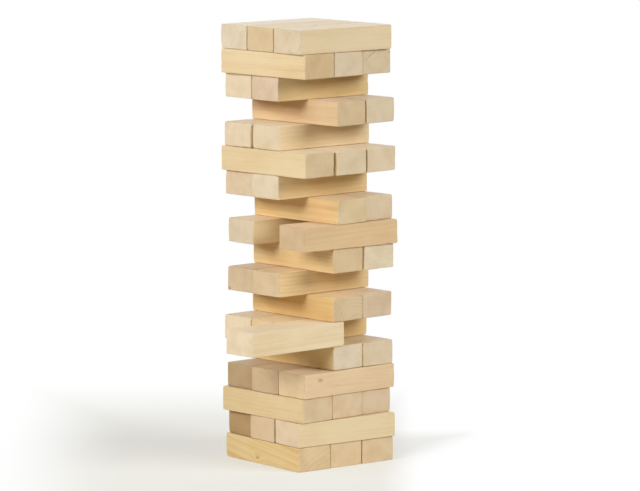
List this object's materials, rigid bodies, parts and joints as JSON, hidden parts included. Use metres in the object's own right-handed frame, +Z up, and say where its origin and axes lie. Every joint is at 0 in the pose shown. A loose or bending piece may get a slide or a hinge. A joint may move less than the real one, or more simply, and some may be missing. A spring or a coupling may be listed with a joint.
{
  "type": "block stacking tower game",
  "caption": "Tower of plain wooden blocks in layers laid crosswise, part way through a game: some places are empty and a block is drawn half out. Each block slides out.",
  "frame": {"origin": "middle of the underside of the lowest layer's middle block, on the surface that the tower stands on", "axes": "+Z up the tower, X along the blocks of the even layers, Y along the blocks of the odd layers, with each layer turned a little about Z; the drawn block comes out towards -X, near the -Y face"},
  "size_m": [0.1217, 0.0821, 0.2717],
  "materials": {
    "pale_wood": "sanded bare wood, matt",
    "straw_wood": "sanded bare wood, matt",
    "rosy_wood": "sanded bare wood, matt",
    "golden_wood": "sanded bare wood, matt",
    "tawny_wood": "sanded bare wood, matt"
  },
  "bodies": {
    "block_01_middle": {"block_01_middle": "straw_wood"},
    "block_01_left": {"block_01_left": "straw_wood"},
    "block_01_right": {"block_01_right": "straw_wood"},
    "block_02_front": {"block_02_front": "pale_wood"},
    "block_02_middle": {"block_02_middle": "straw_wood"},
    "block_02_back": {"block_02_back": "tawny_wood"},
    "block_03_left": {"block_03_left": "straw_wood"},
    "block_03_middle": {"block_03_middle": "straw_wood"},
    "block_03_right": {"block_03_right": "rosy_wood"},
    "block_04_front": {"block_04_front": "rosy_wood"},
    "block_04_middle": {"block_04_middle": "tawny_wood"},
    "block_04_back": {"block_04_back": "tawny_wood"},
    "block_05_middle": {"block_05_middle": "pale_wood"},
    "block_05_right": {"block_05_right": "pale_wood"},
    "block_06_front": {"block_06_front": "pale_wood"},
    "block_06_middle": {"block_06_middle": "straw_wood"},
    "block_06_back": {"block_06_back": "pale_wood"},
    "block_07_middle": {"block_07_middle": "golden_wood"},
    "block_07_right": {"block_07_right": "rosy_wood"},
    "block_08_middle": {"block_08_middle": "straw_wood"},
    "block_08_back": {"block_08_back": "rosy_wood"},
    "block_09_middle": {"block_09_middle": "golden_wood"},
    "block_09_right": {"block_09_right": "pale_wood"},
    "block_10_front": {"block_10_front": "tawny_wood"},
    "block_10_back": {"block_10_back": "pale_wood"},
    "block_11_middle": {"block_11_middle": "golden_wood"},
    "block_11_right": {"block_11_right": "pale_wood"},
    "block_12_middle": {"block_12_middle": "pale_wood"},
    "block_12_back": {"block_12_back": "rosy_wood"},
    "block_13_left": {"block_13_left": "straw_wood"},
    "block_13_middle": {"block_13_middle": "pale_wood"},
    "block_13_right": {"block_13_right": "pale_wood"},
    "block_14_middle": {"block_14_middle": "pale_wood"},
    "block_14_back": {"block_14_back": "pale_wood"},
    "block_15_middle": {"block_15_middle": "rosy_wood"},
    "block_15_right": {"block_15_right": "pale_wood"},
    "block_16_middle": {"block_16_middle": "pale_wood"},
    "block_16_back": {"block_16_back": "pale_wood"},
    "block_17_left": {"block_17_left": "straw_wood"},
    "block_17_middle": {"block_17_middle": "pale_wood"},
    "block_17_right": {"block_17_right": "pale_wood"},
    "block_18_front": {"block_18_front": "pale_wood"},
    "block_18_middle": {"block_18_middle": "straw_wood"},
    "block_18_back": {"block_18_back": "pale_wood"}
  },
  "joints": [
    {"name": "block_01_left_slide", "type": "slide", "parent": "block_01_middle", "child": "block_01_left", "axis": [0.0785, 0.9969, 0], "range_m": [-0.0795, 0.0805]},
    {"name": "block_01_right_slide", "type": "slide", "parent": "block_01_middle", "child": "block_01_right", "axis": [0.0785, 0.9969, 0], "range_m": [-0.08, 0.08]},
    {"name": "block_02_front_slide", "type": "slide", "parent": "block_01_middle", "child": "block_02_front", "axis": [0.9962, -0.0872, 0], "range_m": [-0.081, 0.079]},
    {"name": "block_02_middle_slide", "type": "slide", "parent": "block_01_middle", "child": "block_02_middle", "axis": [0.9962, -0.0872, 0], "range_m": [-0.0805, 0.0795]},
    {"name": "block_02_back_slide", "type": "slide", "parent": "block_01_middle", "child": "block_02_back", "axis": [0.9962, -0.0872, 0], "range_m": [-0.082, 0.078]},
    {"name": "block_03_left_slide", "type": "slide", "parent": "block_01_middle", "child": "block_03_left", "axis": [0, 1, 0], "range_m": [-0.081, 0.079]},
    {"name": "block_03_middle_slide", "type": "slide", "parent": "block_01_middle", "child": "block_03_middle", "axis": [0, 1, 0], "range_m": [-0.081, 0.079]},
    {"name": "block_03_right_slide", "type": "slide", "parent": "block_01_middle", "child": "block_03_right", "axis": [0, 1, 0], "range_m": [-0.0815, 0.0785]},
    {"name": "block_04_front_slide", "type": "slide", "parent": "block_01_middle", "child": "block_04_front", "axis": [1, 0, 0], "range_m": [-0.0805, 0.0795]},
    {"name": "block_04_middle_slide", "type": "slide", "parent": "block_01_middle", "child": "block_04_middle", "axis": [1, 0, 0], "range_m": [-0.0805, 0.0795]},
    {"name": "block_04_back_slide", "type": "slide", "parent": "block_01_middle", "child": "block_04_back", "axis": [1, 0, 0], "range_m": [-0.082, 0.078]},
    {"name": "block_05_middle_slide", "type": "slide", "parent": "block_01_middle", "child": "block_05_middle", "axis": [-0.0175, 0.9998, 0], "range_m": [-0.0815, 0.0785]},
    {"name": "block_05_right_slide", "type": "slide", "parent": "block_01_middle", "child": "block_05_right", "axis": [-0.0175, 0.9998, 0], "range_m": [-0.08, 0.08]},
    {"name": "block_06_front_slide", "type": "slide", "parent": "block_01_middle", "child": "block_06_front", "axis": [1, 0, 0], "range_m": [-0.03825, 0.12175]},
    {"name": "block_06_middle_slide", "type": "slide", "parent": "block_01_middle", "child": "block_06_middle", "axis": [1, 0, 0], "range_m": [-0.0805, 0.0795]},
    {"name": "block_06_back_slide", "type": "slide", "parent": "block_01_middle", "child": "block_06_back", "axis": [1, 0, 0], "range_m": [-0.0805, 0.0795]},
    {"name": "block_07_middle_slide", "type": "slide", "parent": "block_01_middle", "child": "block_07_middle", "axis": [-0.0087, 1, 0], "range_m": [-0.081, 0.079]},
    {"name": "block_07_right_slide", "type": "slide", "parent": "block_01_middle", "child": "block_07_right", "axis": [-0.0087, 1, 0], "range_m": [-0.081, 0.079]},
    {"name": "block_08_middle_slide", "type": "slide", "parent": "block_01_middle", "child": "block_08_middle", "axis": [1, 0, 0], "range_m": [-0.0815, 0.0785]},
    {"name": "block_08_back_slide", "type": "slide", "parent": "block_01_middle", "child": "block_08_back", "axis": [1, 0, 0], "range_m": [-0.0825, 0.0775]},
    {"name": "block_09_middle_slide", "type": "slide", "parent": "block_01_middle", "child": "block_09_middle", "axis": [0.0087, 1, 0], "range_m": [-0.0805, 0.0795]},
    {"name": "block_09_right_slide", "type": "slide", "parent": "block_01_middle", "child": "block_09_right", "axis": [0.0087, 1, 0], "range_m": [-0.08, 0.08]},
    {"name": "block_10_front_slide", "type": "slide", "parent": "block_01_middle", "child": "block_10_front", "axis": [0.999, -0.0436, 0], "range_m": [-0.0825, 0.0775]},
    {"name": "block_10_back_slide", "type": "slide", "parent": "block_01_middle", "child": "block_10_back", "axis": [0.999, -0.0436, 0], "range_m": [-0.0825, 0.0775]},
    {"name": "block_11_middle_slide", "type": "slide", "parent": "block_01_middle", "child": "block_11_middle", "axis": [-0.0349, 0.9994, 0], "range_m": [-0.079, 0.081]},
    {"name": "block_11_right_slide", "type": "slide", "parent": "block_01_middle", "child": "block_11_right", "axis": [-0.0349, 0.9994, 0], "range_m": [-0.081, 0.079]},
    {"name": "block_12_middle_slide", "type": "slide", "parent": "block_01_middle", "child": "block_12_middle", "axis": [1, 0.0087, 0], "range_m": [-0.0805, 0.0795]},
    {"name": "block_12_back_slide", "type": "slide", "parent": "block_01_middle", "child": "block_12_back", "axis": [1, 0.0087, 0], "range_m": [-0.081, 0.079]},
    {"name": "block_13_left_slide", "type": "slide", "parent": "block_01_middle", "child": "block_13_left", "axis": [-0.0349, 0.9994, 0], "range_m": [-0.081, 0.079]},
    {"name": "block_13_middle_slide", "type": "slide", "parent": "block_01_middle", "child": "block_13_middle", "axis": [-0.0349, 0.9994, 0], "range_m": [-0.0795, 0.0805]},
    {"name": "block_13_right_slide", "type": "slide", "parent": "block_01_middle", "child": "block_13_right", "axis": [-0.0349, 0.9994, 0], "range_m": [-0.0795, 0.0805]},
    {"name": "block_14_middle_slide", "type": "slide", "parent": "block_01_middle", "child": "block_14_middle", "axis": [1, -0.0087, 0], "range_m": [-0.0815, 0.0785]},
    {"name": "block_14_back_slide", "type": "slide", "parent": "block_01_middle", "child": "block_14_back", "axis": [1, -0.0087, 0], "range_m": [-0.08, 0.08]},
    {"name": "block_15_middle_slide", "type": "slide", "parent": "block_01_middle", "child": "block_15_middle", "axis": [-0.0523, 0.9986, 0], "range_m": [-0.08, 0.08]},
    {"name": "block_15_right_slide", "type": "slide", "parent": "block_01_middle", "child": "block_15_right", "axis": [-0.0523, 0.9986, 0], "range_m": [-0.08, 0.08]},
    {"name": "block_16_middle_slide", "type": "slide", "parent": "block_01_middle", "child": "block_16_middle", "axis": [1, -0.0087, 0], "range_m": [-0.081, 0.079]},
    {"name": "block_16_back_slide", "type": "slide", "parent": "block_01_middle", "child": "block_16_back", "axis": [1, -0.0087, 0], "range_m": [-0.081, 0.079]},
    {"name": "block_17_left_slide", "type": "slide", "parent": "block_01_middle", "child": "block_17_left", "axis": [-0.0349, 0.9994, 0], "range_m": [-0.081, 0.079]},
    {"name": "block_17_middle_slide", "type": "slide", "parent": "block_01_middle", "child": "block_17_middle", "axis": [-0.0349, 0.9994, 0], "range_m": [-0.0815, 0.0785]},
    {"name": "block_17_right_slide", "type": "slide", "parent": "block_01_middle", "child": "block_17_right", "axis": [-0.0349, 0.9994, 0], "range_m": [-0.082, 0.078]},
    {"name": "block_18_front_slide", "type": "slide", "parent": "block_01_middle", "child": "block_18_front", "axis": [0.9998, -0.0175, 0], "range_m": [-0.0785, 0.0815]},
    {"name": "block_18_middle_slide", "type": "slide", "parent": "block_01_middle", "child": "block_18_middle", "axis": [0.9998, -0.0175, 0], "range_m": [-0.0785, 0.0815]},
    {"name": "block_18_back_slide", "type": "slide", "parent": "block_01_middle", "child": "block_18_back", "axis": [0.9998, -0.0175, 0], "range_m": [-0.0785, 0.0815]}
  ]
}
